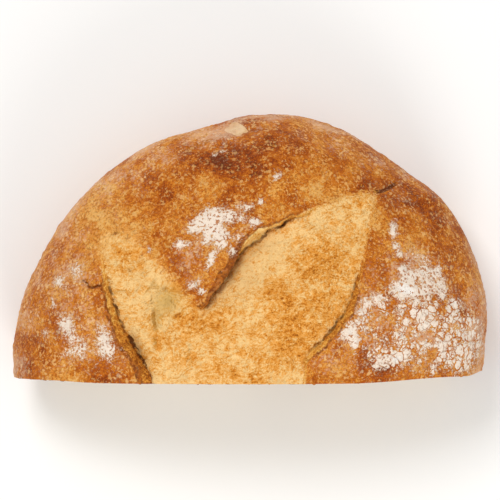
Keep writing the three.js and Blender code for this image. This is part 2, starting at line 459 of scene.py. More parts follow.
def scored(x, y, ragged):
    """What the ears do at each place: the height and the sideways shift that they add together, and the
    fields that colour them, which are the nearest ear's."""
    relief, nearest = np.zeros(x.shape), np.full(x.shape, np.inf)
    shift = np.zeros((*x.shape, 2))
    fields = {}
    crease_shade = np.zeros(x.shape)
    for ear in EARS.values():
        signed, along, normal = beside_curve(ear["path"], x, y)
        signed = signed + EAR_RAGGED * ragged
        at = {name: knots(line, along) for name, line in ear.items() if isinstance(line, list)}
        ends = fading(along, *EAR_ENDS)
        height, aside = ear_profile(ear, at, signed)
        relief += height * ends
        shift -= (aside * ends)[..., None] * normal
        drop = smooth((at["lift"] + at["sink"] - 0.3) / 1.2) * ends
        here = abs(signed + at["torn"] / 2) < nearest
        nearest = np.where(here, abs(signed + at["torn"] / 2), nearest)
        mine = {
            "ear_edge": np.clip(signed, -12, 12),
            "ear_band": at["torn"] * drop,
            "ear_split": np.clip(at["gap"] / 1.5, 0, 1) * ends,
            "ear_brown_and_shade": at["brown"],
            "ear_lip": at["lip_shade"] * drop,
        }
        fields = {name: np.where(here, value, fields.get(name, 0)) for name, value in mine.items()}
        foot = signed + at["torn"]
        # painted shadow: the dough just beyond each ear's foot is darkened where the flap's shadow falls
        crease_shade = np.maximum(crease_shade, at["crease_shade"] * np.where(foot > 0, 0, bell(foot / 4.0)) * ends)
    return relief, shift, {**fields, "crease_shade": crease_shade}


def grooved(x, y, ragged):
    """The grooves' depth at each place, how far it is from the nearest groove darkened with painted shade,
    up to 3 mm, and how strong that groove's painted shade is."""
    cut, nearest, nearest_shade = np.zeros(x.shape), np.full(x.shape, 3.0), np.zeros(x.shape)
    # Each groove's last number, brown, is the strength of the painted shade in it.
    for path, depth, width, fade, brown in GROOVES:
        signed, along, _ = beside_curve(path, x, y)
        ends = fading(along, fade, fade)
        cut += depth * bell((signed + GROOVE_RAGGED * ragged) / width) * ends
        distance = abs(signed) - 0.5 * width
        here = (distance < nearest) & (brown > 0)
        nearest = np.where(here, distance, nearest)
        nearest_shade = np.where(here, brown * ends, nearest_shade)
    return cut, nearest, nearest_shade


def blistered(place):
    """The height of the skin's blisters at each point. They are low domes on scattered seeds, whose height
    falls from the middle by the square of the distance."""
    flat = place.reshape(-1, 3)
    total = np.zeros(len(flat))
    for size, seed, least, wider, height, steep, bare in BLISTERS:
        distance, number = nearest_seed(flat, size, seed)
        radius = least + wider * number
        dome = np.clip(1 - (distance / radius) ** 2, 0, 1)
        total += (height + steep * radius) * dome * (number > bare)
    return total.reshape(place.shape[:-1])


def open_softness(x, y):
    """Over how many millimetres the opened dough's edge passes into the skin: wide on the back flap's soft
    side, and a little at the far ends of the back and right ears, where they have no step."""
    soft_distance = abs(beside_curve(SOFT_SIDE, x, y)[0])
    right_distance, right_along, _ = beside_curve(EARS["right"]["path"], x, y)
    back_distance, back_along, _ = beside_curve(EARS["back"]["path"], x, y)
    softness = 0.6 + 6.5 * smooth((18 - soft_distance) / 14)
    softness += 2.2 * bell(right_distance / 8) * smooth((0.42 - right_along) / 0.1)
    return softness + 1.6 * bell(back_distance / 8) * smooth((back_along - 0.6) / 0.2)


def crust_surface():
    """The whole crust as a grid of points, with the fields of its scored shape that its finish reads. The
    plain round is pulled into finer steps across each ear, then scored, grooved and roughened."""
    ring, angle = half_disc(CRUST_ROWS)
    front = np.zeros(ring.shape, bool)
    front[0] = True
    x, y, z = plain_crust(ring, angle)
    on_crown = smooth((z - GIRTH_HEIGHT + 12) / 14)
    x, y = pulled(x, y, front, smooth((CROWN_SHARE - ring) / 0.12))
    plan, place = np.stack([x, y], -1), np.stack([x, y, z], -1)

    ragged = uneven(plan, (0.4, 9.0, 11), (0.2, 3.5, 12))
    relief, shift, fields = scored(x, y, ragged)
    cut, fields["groove"], fields["groove_shade"] = grooved(x, y, ragged)
    opened = depth_inside(open_outline(), x, y)
    pits = blobs(PITS, x, y)
    wrinkle = bell(waves(plan, 9, 16) / 0.45) * np.clip(blobs(WRINKLED, x, y), 0, 1) * smooth(opened / 3)
    relief += blobs(LUMPS, x, y) - cut - pits - WRINKLE_DEPTH * wrinkle
    fields["opened"] = np.clip(opened / open_softness(x, y), -1, 1)
    # How far each pit goes deeper than 0.8 mm, which the finish darkens as painted shade.
    fields["pit_shade"] = np.clip(pits - 0.8, 0, 1)
    fields["wrinkle"] = wrinkle

    broad = uneven(place, (1.1, 85, 1), (0.55, 38, 2), (0.28, 17, 3))
    fine = blistered(place) * (1 - 0.6 * smooth(opened / 2 + 0.5))
    half_band = fields["ear_band"] / 2
    on_band = smooth(half_band) * bell((fields["ear_edge"] + half_band) / (half_band + 0.8))
    fine += on_band * uneven(place, (0.3, 3.2, 8), (0.18, 2, 9))
    fine += uneven(place, (0.12, 8, 4), (0.08, 4.2, 5)) - 0.07

    crown_up, flank_up = np.maximum(z - 0.8 * GIRTH_HEIGHT, 0) * 2.4, (z - GIRTH_HEIGHT) * 1.2
    out = np.stack([x, y, np.where(ring > CROWN_SHARE, flank_up, crown_up)], -1)
    out = out / np.maximum(np.linalg.norm(out, axis=-1, keepdims=True), 1e-6)
    off_base = smooth(z / 10)
    place = place + out * BROAD_SIDEWAYS * (broad * off_base)[..., None]
    place = place + out * FINE_SIDEWAYS * (fine * off_base)[..., None]
    place[..., 2] = np.maximum(place[..., 2] + relief * on_crown, 0)
    place[..., :2] += shift * on_crown[..., None]
    place[..., 1] = np.where(front, 0, np.maximum(place[..., 1], NEAREST_ROW))
    return place, fields


# ---- The crust's colour fields ----

# How brown the skin baked, over an even golden brown: x, y, half width, half length, turn and strength.
SKIN_BAKE = [
    (-14, 105.5, 12, 9, 0, 0.36), (9, 114, 7, 6, 0, -0.1), (0, 100, 40, 16, 0, 0.06),
    (84, 62, 20, 26, 0, 0.05), (60, 8, 16, 8, 0, 0.15), (-14, 105, 6, 5, 0, 0.14),
    (22, 102, 22, 12, 0, 0.15), (75, 78, 22, 14, -40, 0.06), (63, 78, 5, 9, 0, -0.12),
    (95, 55, 9, 24, 10, 0.04), (72, 88, 8, 5, -30, 0.12), (-70, 40, 10, 6, 0, 0.08),
    (-78, 70, 20, 16, 40, -0.16), (-54, 76, 14, 8, 10, -0.22), (-84, 48, 12, 14, 0, -0.1),
    (-73.5, 52, 4, 7, 0, 0.16), (-26, 43, 6, 6, 0, 0.1), (30, 88, 20, 4.5, 15, -0.16),
    (-40, 92, 22, 12, 20, 0.16), (-66, 4, 12, 10, 0, 0.16), (-92, 12, 12, 14, 0, 0.1),
    (98, 75, 8, 14, 30, -0.08),
]

# How golden the opened dough baked, over cream.
OPEN_BAKE = [
    (24, 36, 16, 22, 20, 0.36), (-8, 4, 30, 5.5, 0, 0.2), (-32.8, 30.8, 2.4, 2.4, 0, 0.35),
    (-9, 45, 7, 11, -35, -0.25), (8, 62, 6, 12, -45, -0.3), (30, 60, 12, 10, 0, 0.35),
    (12, 20, 18, 14, 0, 0.3), (45, 62, 8, 12, 0, 0.15), (-24, 30, 9, 6, -30, 0.35),
    (-32, 24, 6, 6, 0, 0.3), (-56, 60, 12, 6, -20, 0.22), (-20, 12, 14, 6, 0, 0.18),
    (-36, 43.5, 6.5, 4.5, -20, 0.42), (-43.5, 20, 2.5, 5, 0, 0.4),
]

# Where dry flour stayed on the skin. The first list is thick, and the second only dusts it.
FLOUR = [
    # on the back flap
    (-22, 75.5, 4.2, 4.7, 0, 0.9), (-16.5, 78, 5.1, 4.7, 0, 0.95), (-16.5, 70.5, 6, 4.7, 0, 1),
    (-26.5, 72.5, 3.7, 2.8, 0, 0.9), (-13.5, 65.5, 2.8, 3.3, 0, 0.95), (-9.5, 78, 2.8, 3.3, 0, 0.8),
    (-1.5, 82.5, 3.7, 2.3, 0, 0.62), (2, 75.5, 2.8, 2.1, 0, 0.8), (-4, 76.5, 2.8, 2.8, 0, 0.45),
    (-6, 68.5, 2.8, 3.3, 0, 0.45), (-8.5, 61.5, 2.3, 2.1, 0, 0.75), (-32, 65, 4.2, 1.9, 0, 0.8),
    (-20.5, 66, 2.3, 1.9, 0, 0.7), (-18, 58.5, 1.7, 4.7, -20, 1), (-26.5, 46, 3.5, 2, 15, 0.72),
    (-22.5, 43, 2, 1.4, 0, 0.95), (-47, 62.5, 1.2, 1.6, 0, 0.8), (13, 96.8, 2.2, 1.6, 30, 0.72),
    (-13, 109, 2.4, 1.8, 0, 0.42), (-17, 107, 1.6, 1.6, 0, 0.36), (5.2, 85, 1.7, 1.7, 0, 0.95),
    # specks in the middle of the opened dough
    (14.4, 34.1, 1.1, 1.1, 0, 1.3), (22.9, 33.3, 1.2, 1, 0, 1.3), (19, 30.2, 1.4, 0.9, 0, 1.3),
    (10, 29.5, 0.9, 0.9, 0, 1.2),
    # on the left flap
    (-86, 27, 4.4, 5, 0, 0.66), (-83.5, 20, 4, 4, 0, 0.48), (-79, 15.5, 3.2, 5, 0, 0.56),
    (-68.5, 21, 4, 4.2, 0, 0.68), (-67, 15.5, 4.8, 4.2, 0, 0.78), (-70, 26, 3.2, 2.8, 0, 0.4),
    (-90.5, 47.5, 3.2, 3, 0, 0.56), (-82, 53, 3, 4.8, 0, 0.5), (-93, 36.5, 2.1, 2.8, 0, 0.5),
    (-96.5, 23, 1.4, 1.9, 0, 0.55), (-84, 14, 4.2, 3.8, 0, 0.42), (-87.5, 44.5, 3.8, 1.9, 0, 0.4),
    # on the right flap: its upper patches
    (67.5, 72, 2.3, 3.8, 0, 0.9), (68.5, 64.5, 1.9, 1.9, 0, 0.8), (70, 60.5, 1.9, 1.9, 0, 0.6),
    (76.5, 58.5, 6.6, 5.6, 0, 0.28), (82.5, 56.5, 4.7, 4.7, 0, 0.32), (71.5, 53, 2.3, 2.3, 0, 1),
    (75, 50, 3.8, 2.8, 0, 1.05), (72, 44, 5.6, 4.2, 0, 1.3), (76.5, 42.5, 3.7, 2.8, 0, 1),
    (82.5, 52, 3.8, 3.3, 0, 0.75), (88, 51.5, 2.8, 3.3, 0, 0.72), (82, 42, 2.8, 2.3, 0, 0.9),
    (83.5, 38.5, 2.3, 1.9, 0, 0.75), (89.5, 45, 3.8, 4.2, 0, 0.78), (91, 40.5, 1.9, 1.9, 0, 0.8),
    (88, 37.5, 1.9, 1.9, 0, 0.7), (96.5, 37, 3, 2.4, 0, 1.05), (93.5, 34.5, 1.9, 1.9, 0, 0.75),
    (78, 37.5, 3.3, 1.6, 0, 0.85), (72.5, 35.5, 3.3, 2.3, 0, 0.75), (76.5, 33.5, 2.3, 1.9, 0, 0.75),
    (83, 46.5, 5, 4, 0, 0.7),
    # a thin layer over the right flap's lower part, with a gap in it
    (86, 20, 20, 14, 0, 0.25), (100, 20, 9, 16, 0, 0.45), (58, 27, 7, 9, 0, 0.15),
    (84, 22, 5, 6, 0, -0.5),
    # along its lower left
    (60, 39, 5, 3.7, 0, 0.62), (54, 37, 2.8, 2.3, 0, 0.8), (52.5, 33, 3.3, 2.3, 0, 0.9),
    (50.5, 28.5, 3.7, 2.3, 0, 0.85), (46.5, 24.5, 3.7, 2.8, 0, 1.15), (49, 19.5, 3, 3, 0, 1.15),
    (44, 21.5, 3.7, 1.9, 0, 0.5), (63, 33.5, 2.8, 2.3, 0, 0.5), (54, 25, 5.6, 5.6, 0, 0.36),
    # down its middle
    (71, 29, 2.3, 3.7, 0, 0.9), (70, 22.5, 2.6, 3.7, 0, 0.95), (71.5, 18, 3.3, 2.8, 0, 0.85),
    (67, 14.5, 3.7, 2.3, 0, 0.65), (59.5, 13.5, 4, 3.3, 0, 1.05), (68, 11, 5.6, 3.7, 0, 1.15),
    (72.5, 13.5, 2.8, 2.8, 0, 0.9), (60, 8, 2.8, 1.9, 0, 0.8),
    # and over its right, where it is crackled
    (83.5, 33, 5.6, 3.8, 0, 0.9), (77.5, 30.5, 3.3, 1.9, 0, 0.85), (82.5, 26.5, 6, 2.8, 0, 0.9),
    (89.5, 24, 3.8, 4.2, 0, 0.8), (97, 29, 4.7, 3.8, 0, 0.72), (105, 28, 2.4, 3.3, 0, 0.95),
    (101, 22, 3.3, 3.3, 0, 1), (106, 22, 2.4, 2.8, 0, 0.85), (93, 18.5, 3.8, 2.4, 0, 0.85),
    (97.5, 15, 3.8, 2.4, 0, 0.85), (104.5, 16, 2.8, 2.4, 0, 0.75), (91, 11.5, 3.3, 4.2, 0, 0.95),
    (99, 8.5, 6, 3.3, 0, 1.05), (105, 11, 2.8, 3.8, 0, 0.65), (86.5, 16.5, 2.3, 1.6, 0, 0.65),
    (82, 17, 4.2, 3.7, 0, 0.6), (80, 10, 3.3, 4.2, 0, 0.42), (101, 4.5, 4.7, 1.4, 0, 0.5),
    (86.5, 4.5, 1.9, 2.8, 0, 0.4), (109, 17, 1.9, 11.4, 0, 0.42),
]
DUSTING = [
    (-27, 59, 8, 8, 0, 0.4), (-14, 72, 20, 12, 10, 0.25), (-22, 50, 8, 8, 0, 0.2),
    (-80, 25, 18, 24, 0, 0.3), (-62, 14, 8, 10, 0, 0.25), (76, 52, 16, 12, 0, 0.45),
    (78, 24, 28, 20, 0, 0.45), (53, 34, 9, 12, 0, 0.4), (56, 47, 7, 8, 0, 0.3),
    (-84, 50, 13, 13, 0, 0.35), (-52, 101, 20, 5, 30, 0.2), (-18, 117, 20, 5, 12, 0.35),
    (60, 8, 16, 7, 0, 0.3), (40, 12, 14, 8, 0, 0.25), (-14, 108, 8, 5, 0, 0.08),
    (106, 25, 6, 22, 0, 0.35),
]

# Along the girth a thin veil, partly flour dust and partly painted sheen, lies on the skin, but for this
# stretch at the back right.
RIM_WITHOUT_VEIL = [(98, 70, 16, 26, 30, 0.85)]

# The flour dried onto the right flap while the skin under it stretched, so there it is crackled.
CRACKLED = [
    (86, 18, 30, 20, 0, 1.5), (52, 22, 8, 14, 0, 0.3), (47, 22, 5, 6, 0, -0.5),
    (65, 11, 8, 3.5, 0, -0.6), (77, 50, 14, 9, 0, -1.1),
]

# The flake of skin that came off, at the back: its outline, and the depth left behind it.
CHIP = [
    (-9.9, 122.2), (-8.1, 123.4), (-6.2, 123.5), (-4.2, 122.3), (-2.2, 120.6), (-0.7, 118.5),
    (-2, 117.8), (-3.1, 118.1), (-4.5, 116.7), (-6.1, 116.4), (-7.7, 117), (-8.9, 117.8), (-10.6, 118),
    (-12.4, 119.4), (-11.4, 120.8), (-9.7, 120.8),
]
CHIP_DEPTH = 0.5

# The thin glassy skin over a bubble in the left of the opened dough.
GLASSY = [(-38.5, 38.5, 6, 6, 0, 1.0), (-43.5, 30, 2.5, 6, 0, 0.6), (-55.5, 15, 3, 6, 20, 0.5)]


def crust_fields(place):
    """The fields that colour the crust at each point: how baked the skin and the opened dough are, how
    thick the flour is and how crackled, and how far inside the chip it is."""
    x, y, z = place[..., 0], place[..., 1], place[..., 2]
    broad = uneven(place, (0.09, 34, 21), (0.06, 14, 22))
    low = smooth((GIRTH_HEIGHT + 10 - z) / 40)
    top = smooth((z - 20) / 15)
    # A pale veil along the flanks, partly flour dust and partly painted sheen; it is added into the dust
    # field.
    dust_and_sheen = 0.6 * smooth((74 - z) / 34) * (0.3 + 0.7 * smooth((z - 20) / 20)) * smooth((z - 4) / 12)
    dust_and_sheen *= (0.65 + 0.35 * waves(place, 20, 25)) * (1 - blobs(RIM_WITHOUT_VEIL, x, y))
    dust = spots(DUSTING, x, y) * top + dust_and_sheen + 0.04 * waves(place, 12, 24)
    chip = np.clip(depth_inside(CHIP, x, y), -3, 3)
    return {
        "skin_bake": np.clip(0.45 + blobs(SKIN_BAKE, x, y) + broad - 0.06 * low, 0, 1),
        "open_bake": np.clip(0.12 + blobs(OPEN_BAKE, x, y) + 0.8 * broad, 0, 1),
        "flour": np.clip(spots(FLOUR, x, y), 0, 1.3) * top,
        "dust": np.clip(dust, 0, 1),
        "crackle": np.clip(blobs(CRACKLED, x, y), 0, 1),
        "glassy": np.clip(blobs(GLASSY, x, y), 0, 1),
        "chip": np.where(z > GIRTH_HEIGHT, chip, -3),
    }


# ---- The sawn face ----

# Crumb holes by size: how many, and their least and greatest half widths. The first two sizes keep clear
# of each other, and so do the last two.
HOLES = [(40, 3.8, 9.0), (200, 1.8, 3.8), (700, 1.0, 1.8), (900, 0.7, 1.0)]
SMALL_HOLES = 2  # from this place in the list
RIND_CLEARANCE = 2.2  # the least crumb between a hole and the crust
MOUTHS_APART = 0.74  # two middles are at least this share of the sum of their half widths apart
OFF_FACE = 2.0  # a place this far from the face's grid isn't on the face

# Where the knife wandered from its plane, what is behind the cut follows, less and less over this reach.
WANDER_REACH = 15.0


def saw_wander(x):
    """How far the cut runs back from its plane: smooth rises towards both ends, and one more at the right
    corner, where the crust's cut edge bent in."""
    return 2.4 * smooth((x - 45) / 50) + 1.0 * smooth((-70 - x) / 25) + 1.8 * smooth((x - 103) / 9)


def inset_arch(arch, inset):
    """The arch moved inwards, at right angles to itself."""
    run = np.gradient(arch, axis=0)
    run /= np.linalg.norm(run, axis=1, keepdims=True)
    return arch + inset * np.stack([run[:, 1], -run[:, 0]], -1)


def face_grid(arch):
    """The sawn face's places as x and z. Its left, top and right sides follow the arch and its bottom the
    base, and the inside is a Coons patch between the four."""
    line = inset_arch(arch, FACE_INSET)
    line[:, 1] = np.maximum(line[:, 1], FACE_INSET)
    gone = np.concatenate([[0], np.cumsum(np.linalg.norm(np.diff(line, axis=0), axis=1))])
    even = np.linspace(0, gone[-1], FACE_COLUMNS + 2 * FACE_ROWS + 1)
    line = np.stack([np.interp(even, gone, line[:, 0]), np.interp(even, gone, line[:, 1])], -1)
    left = line[: FACE_ROWS + 1]
    top = line[FACE_ROWS : FACE_ROWS + FACE_COLUMNS + 1]
    right = line[FACE_ROWS + FACE_COLUMNS :][::-1]
    u = np.linspace(0, 1, FACE_COLUMNS + 1)[None, :, None]
    v = np.linspace(0, 1, FACE_ROWS + 1)[:, None, None]
    bottom = left[0] + u[0] * (right[0] - left[0])
    sides = (1 - u) * left[:, None] + u * right[:, None]
    ends = (1 - v) * bottom[None] + v * top[None]
    corners = (1 - v) * ((1 - u) * left[0] + u * right[0]) + v * ((1 - u) * left[-1] + u * right[-1])
    return sides + ends - corners


def crumb_holes(x, z, rind):
    """How deep the crumb's holes go at each place. Each hole is a rounded cup whose mouth is an ellipse,
    lying along the crust near it, and the whole field is bent by waves so that no mouth is regular."""
    draw = np.random.default_rng(40)
    flat = np.stack([x, z], -1)
    bent_x = x + uneven(flat, (0.9, 9, 41), (0.35, 3.6, 42))
    bent_z = z + uneven(flat, (0.9, 9, 43), (0.35, 3.6, 44))
    large, small = np.zeros(x.shape), np.zeros(x.shape)
    taken = []
    for kind, (count, least, most) in enumerate(HOLES):
        depth = large if kind < SMALL_HOLES else small
        if kind == SMALL_HOLES:
            taken = []
        made = 0
        for _ in range(count * 6):
            if made == count:
                break
            cx, cz = draw.uniform(-110, 110), draw.uniform(2, 90)
            half = least + (most - least) * draw.random() ** 1.8
            stretch = draw.uniform(1.0, 1.9)
            lean = draw.normal(0, 0.35)
            sunk = draw.uniform(0.7, 1.25)
            away = (x - cx) ** 2 + (z - cz) ** 2
            spot = np.argmin(away)
            room = rind.flat[spot]
            if away.flat[spot] > OFF_FACE**2 or room < half + RIND_CLEARANCE:
                continue
            if any(math.hypot(cx - ox, cz - oz) < MOUTHS_APART * (half + oh) for ox, oz, oh in taken):
                continue
            made += 1
            taken.append((cx, cz, half))
            dx, dz = bent_x - cx, bent_z - cz
            near_crust = smooth((28 - room) / 28) * smooth((cz - 12) / 30)
            slope = lean - 0.9 * near_crust * cx / 110
            c, s = math.cos(slope), math.sin(slope)
            across, up = (c * dx + s * dz) / (half * stretch), (c * dz - s * dx) / (half / stretch**0.4)
            cup = half * sunk * np.clip(1 - across**2 - up**2, 0, 1) ** 0.42
            np.maximum(depth, cup, out=depth)
    return large + 0.6 * small


def sawn_face(arch):
    """The sawn face inside the crust's front edge, as a grid of points, with how deep its holes are and how
    far it is in from the crust. The edge is given as x and z, from the base's left end over the crown."""
    grid = face_grid(arch)
    x, z = grid[..., 0], grid[..., 1]
    rind = np.minimum(abs(beside_path(arch, x, z)[0]), z * 0.9)
    rind[0], rind[-1], rind[:, 0], rind[:, -1] = 0, 0, 0, 0
    depth = crumb_holes(x, z, rind)
    pores = np.clip(uneven(grid, (0.35, 2.6, 45), (0.3, 1.7, 46)), 0, 1) * smooth((rind - 1) / 3)
    crumbs = np.clip(0.8 * waves(grid, 3.4, 47) - 0.9, 0, 0.9) * bell((rind - 2.2) / 1.6)
    inward = depth + pores - crumbs + 0.25 * smooth(rind / 1.5)
    return np.stack([x, inward, z], -1), {"hole": depth, "rind": rind}


# ---- The base, and the closed mesh of all three ----

# The low and high corners of the crust's, the sawn face's and the base's places in the texture.
CHARTS = [((0.01, 0.01), (0.99, 0.5)), ((0.01, 0.52), (0.79, 0.82)), ((0.01, 0.84), (0.31, 0.99))]


def rim(grid):
    """The outer edge of a half-disc grid of points or numbers, from its right corner round the back to its
    left corner."""
    return np.concatenate([grid[:, -1], grid[-1, -2::-1], grid[-2::-1, 0]])


def base_surface(crust):
    """The baked base as a half-disc grid, with how far it is in from its rim. The rim lies just inside the
    crust's lowest edge, and the base is flat, but for small pits."""
    ring, angle = half_disc(BASE_ROWS)
    edge = rim(crust)
    reach = np.interp(angle, np.arctan2(edge[:, 1], edge[:, 0]), np.hypot(edge[:, 0], edge[:, 1]))
    reach = reach - BASE_INSET
    x, y = ring * reach * np.cos(angle), ring * reach * np.sin(angle)
    y = y + 0.4 * (1 - smooth(y / 6))
    place = np.stack([x, y, np.zeros(x.shape)], -1)
    pits = np.clip(uneven(place, (0.25, 7, 51), (0.2, 17, 52)) - 0.15, 0, 0.6)
    place[..., 2] = pits * smooth((1 - ring) / 0.08) * smooth((y - 1) / 5)
    return place, {"from_rim": (1 - ring) * reach}


def cells(numbers):
    """The four-sided faces of a grid, each anticlockwise when its columns run to the right and its rows
    up."""
    low, high = numbers[:-1], numbers[1:]
    return np.stack([low[:, :-1], low[:, 1:], high[:, 1:], high[:, :-1]], -1).reshape(-1, 4)


def zipped(right, left):
    """The triangles that join two lines of vertices that run the same way, seen with the first on the
    right. Each edge of one line meets the vertex of the other that is nearest by its share of the way."""
    n, m = len(right) - 1, len(left) - 1
    i, j = np.arange(n), np.arange(m)
    facing_left = np.ceil(m * (i + 0.5) / n - 0.5).astype(int)
    facing_right = np.floor(n * (j + 0.5) / m + 0.5).astype(int)
    first = np.stack([right[i], right[i + 1], left[facing_left]], -1)
    second = np.stack([left[j + 1], left[j], right[facing_right]], -1)
    return np.vstack([first, second])


def box_map(grid, low, high):
    """Texture places for a grid: its columns and rows spread evenly over a box."""
    rows, columns = grid.shape[:2]
    u, v = np.meshgrid(np.linspace(low[0], high[0], columns), np.linspace(low[1], high[1], rows))
    return np.stack([u, v], -1).reshape(-1, 2)


def half_loaf():
    """The half loaf: the crust, the sawn face and the base, zipped into one closed mesh. Its faces wear
    material 0 on the crust, 1 on the sawn face and 2 on the base."""
    crust, shape_fields = crust_surface()
    colour_fields = crust_fields(crust)
    crust[..., 2] -= CHIP_DEPTH * smooth(colour_fields["chip"] / 0.6 + 0.5)
    face, face_fields = sawn_face(crust[0][:, [0, 2]])
    base, base_fields = base_surface(crust)

    sheets = [crust, face, base]
    all_fields = [{**shape_fields, **colour_fields}, face_fields, base_fields]
    numbers, count = [], 0
    for sheet in sheets:
        numbers.append(count + np.arange(sheet[..., 0].size).reshape(sheet.shape[:2]))
        count += numbers[-1].size
    crust_numbers, face_numbers, base_numbers = numbers
    face_side = np.concatenate([face_numbers[:, 0], face_numbers[-1, 1:], face_numbers[-2::-1, -1]])
    right_corner = [crust_numbers[0, -1], face_numbers[0, -1], base_numbers[0, -1]]
    left_corner = [face_numbers[0, 0], crust_numbers[0, 0], base_numbers[0, 0]]
    groups = [
        (cells(crust_numbers), 0),
        (cells(face_numbers), 1),
        (cells(base_numbers)[:, ::-1], 2),
        (zipped(face_side, crust_numbers[0]), 1),
        (zipped(base_numbers[0], face_numbers[0]), 1),
        (zipped(rim(base_numbers), rim(crust_numbers)), 2),
        (np.array([right_corner, left_corner]), 2),
    ]

    places = np.vstack([sheet.reshape(-1, 3) for sheet in sheets])
    x, y = places[:, 0], places[:, 1]
    places[:, 1] += saw_wander(x) * np.exp(-y / WANDER_REACH) + SAWN_Y
    mesh = bpy.data.meshes.new("half_loaf_bread")
    mesh.from_pydata((places * MM).tolist(), [], [f for faces, _ in groups for f in faces.tolist()])
    wear = np.concatenate([np.full(len(faces), material) for faces, material in groups])
    mesh.polygons.foreach_set("material_index", wear.astype(np.int32))
    mesh.polygons.foreach_set("use_smooth", np.ones(len(wear), bool))
    mesh.set_sharp_from_angle(angle=math.radians(SHARP_ANGLE))

    for number, fields in zip(numbers, all_fields):
        for name, field in fields.items():
            values = np.zeros(count, np.float32)
            values[number] = field
            mesh.attributes.new(name, "FLOAT", "POINT").data.foreach_set("value", values)

    chart = np.vstack([box_map(sheet, *corners) for sheet, corners in zip(sheets, CHARTS)])
    loops = np.zeros(len(mesh.loops), np.int32)
    mesh.loops.foreach_get("vertex_index", loops)
    unwrap = mesh.uv_layers.new(name="OFBake")
    unwrap.data.foreach_set("uv", chart[loops].astype(np.float32).ravel())
    mesh.validate()
    piece = bpy.data.objects.new("half_loaf_bread", mesh)
    bpy.context.scene.collection.objects.link(piece)
    return piece


# ---- Materials ----

# The height, in metres, that a bump of 1 stands for.
CRUST_BUMP = 0.001
CRUMB_BUMP = BASE_BUMP = 0.0006


def colour(code):
    """An sRGB hex colour as linear red, green, blue and alpha."""
    shares = [int(code[i : i + 2], 16) / 255 for i in (1, 3, 5)]
    return (*(c / 12.92 if c <= 0.04045 else ((c + 0.055) / 1.055) ** 2.4 for c in shares), 1.0)


def new_material(name, roughness, specular):
    """A material with only its shader, and the shader's inputs."""
    material = bpy.data.materials.new(name)
    material.use_nodes = True
    shader = material.node_tree.nodes["Principled BSDF"].inputs
    shader["Roughness"].default_value = roughness
    shader["Specular IOR Level"].default_value = specular
    return material, shader


class Finish:
    """A material and the patterns that its finish is put together from. Lengths are in millimetres, and a
    hex code may stand for any colour."""

    def __init__(self, name, roughness, specular):
        self.material, self.shader = new_material(name, roughness, specular)
        metres = self.add("TexCoord", out=3)
        self.place = self.add("VectorMath", metres, 1 / MM, operation="SCALE")

    def add(self, kind, *inputs, out=0, stops=(), **settings):
        """Adds a node of a kind with its settings. Its active inputs get values or links in order, where
        None leaves one alone, and a colour ramp gets its stops. Returns one of its active outputs."""
        tree = self.material.node_tree
        made = tree.nodes.new("ShaderNode" + kind)
        for name, value in settings.items():
            setattr(made, name, value)
        for socket, value in zip([socket for socket in made.inputs if socket.enabled], inputs):
            if isinstance(value, bpy.types.NodeSocket):
                tree.links.new(value, socket)
            elif value is not None:
                socket.default_value = colour(value) if isinstance(value, str) else value
        if stops:
            for position, _ in stops[1:-1]:
                made.color_ramp.elements.new(position)
            for element, (position, code) in zip(made.color_ramp.elements, stops):
                element.position = position
                element.color = colour(code)
        return [socket for socket in made.outputs if socket.enabled][out]

    def fields(self, *names):
        """The mesh's fields of these names."""
        return [self.add("Attribute", out=2, attribute_name=name) for name in names]

    def weighted(self, first, *others):
        """first plus each (value, weight)."""
        for value, weight in others:
            first = self.add("Math", value, weight, first, operation="MULTIPLY_ADD")
        return first

    def times(self, first, *others):
        """All the values multiplied together."""
        for value in others:
            first = self.add("Math", first, value, operation="MULTIPLY")
        return first

    def rise(self, low, high, *total):
        """How far a weighted sum has risen smoothly from 0 at low to 1 at high."""
        return self.add("MapRange", self.weighted(*total), low, high, interpolation_type="SMOOTHSTEP")

    def paint(self, surface, *layers):
        """A surface with colours laid over it in order, each given as its share and the colour."""
        for share, code in layers:
            surface = self.add("Mix", share, surface, code, data_type="RGBA")
        return surface

    def mottle(self, length, detail=3.0, rough=0.55, place=None):
        """Smooth noise of a length, from about -1 to 1."""
        noise = self.add("TexNoise", place or self.place, 1 / length, detail, rough)
        return self.add("Math", noise, 4.0, -2.0, operation="MULTIPLY_ADD")

    def shifted(self, length, far):
        """The place, shifted by smooth noise of a length, by up to about this far."""
        noise = self.add("TexNoise", self.place, 1 / length, 2.0, out=1)
        shift = self.add("VectorMath", noise, far, operation="SCALE")
        return self.add("VectorMath", self.place, shift, operation="ADD")

    def worn(self, values):
        """The material, with these values linked to its shader."""
        for name, value in values.items():
            self.material.node_tree.links.new(value, self.shader[name])
        return self.material


